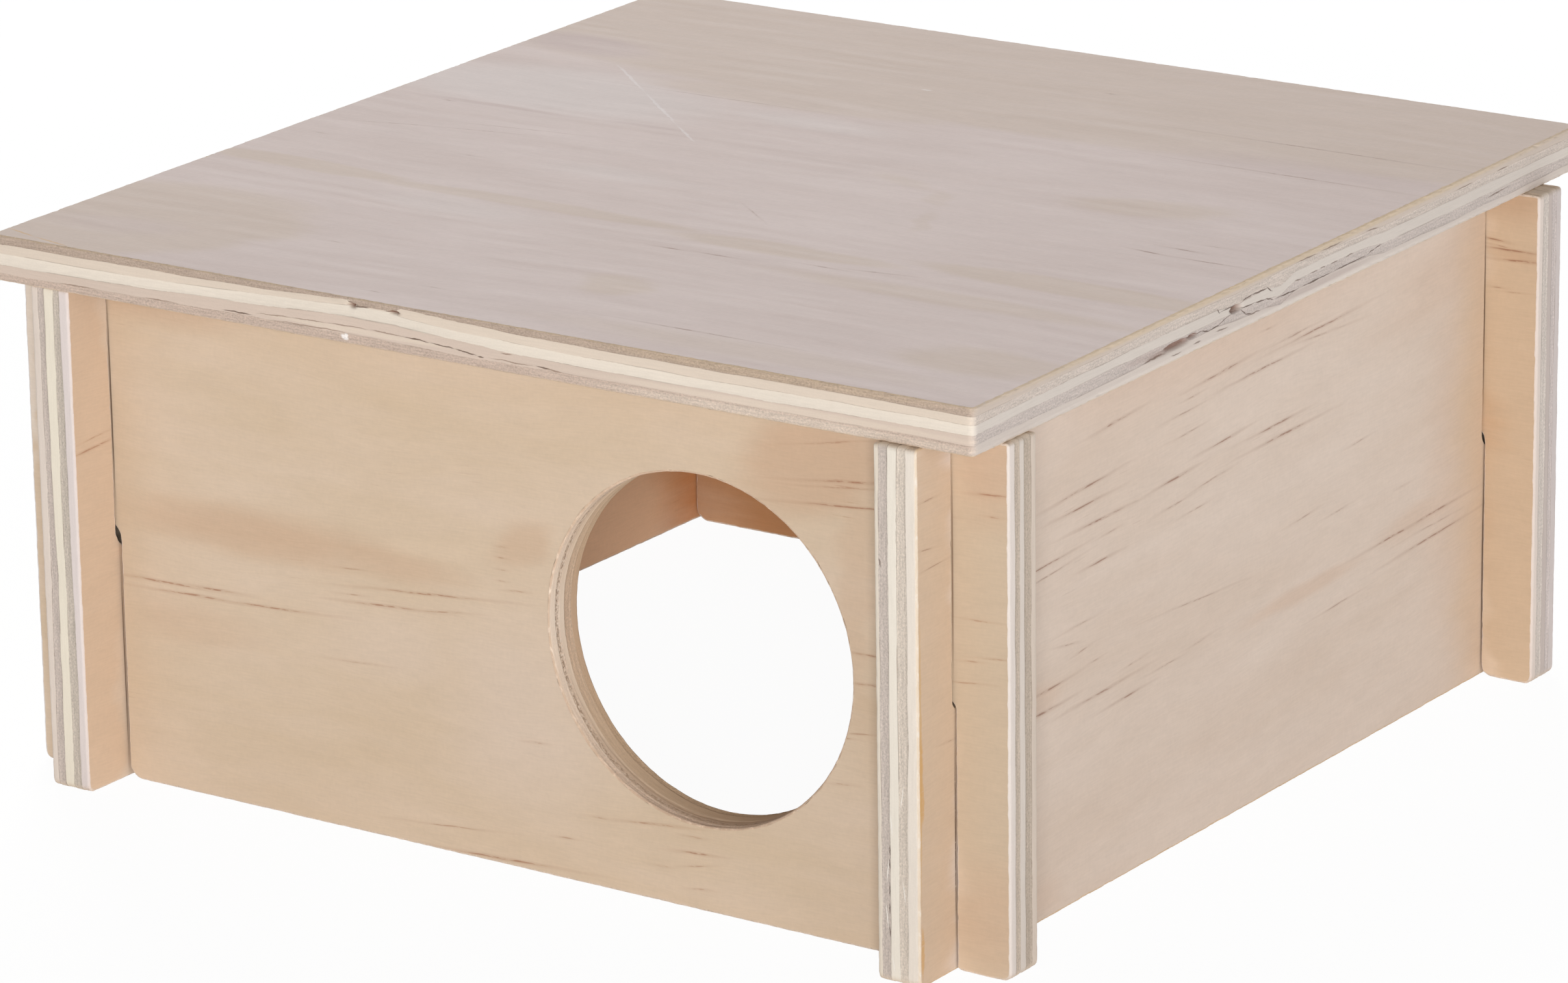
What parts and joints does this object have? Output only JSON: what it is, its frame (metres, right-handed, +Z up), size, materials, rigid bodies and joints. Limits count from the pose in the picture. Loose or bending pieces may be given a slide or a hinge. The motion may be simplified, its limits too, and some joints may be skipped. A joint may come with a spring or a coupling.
{
  "type": "hamster house",
  "caption": "Slot-together plywood hamster house, open below, with a round door hole in the front wall and a loose flat roof board that lifts off.",
  "frame": {"origin": "on the ground under the middle of the house, at the centre of the bottom of its bounding box", "axes": "+Z up, -Y towards the side with the door hole, +X to the right as seen from that side"},
  "size_m": [0.2, 0.2026, 0.098],
  "materials": {
    "wall_plywood": "bare pine-faced plywood, sanded, with pale and grey-brown plies on its cut edges",
    "roof_plywood": "bare pine-faced plywood, sanded, slightly sheened, with pale and grey-brown plies on its cut edges"
  },
  "bodies": {
    "walls": {"front_wall": "wall_plywood", "back_wall": "wall_plywood", "left_wall": "wall_plywood", "right_wall": "wall_plywood"},
    "roof": {"roof_board": "roof_plywood"}
  },
  "joints": [
    {"name": "roof_lift", "type": "slide", "parent": "walls", "child": "roof", "axis": [0, 0, 1], "range_m": [0, 0.1]}
  ]
}
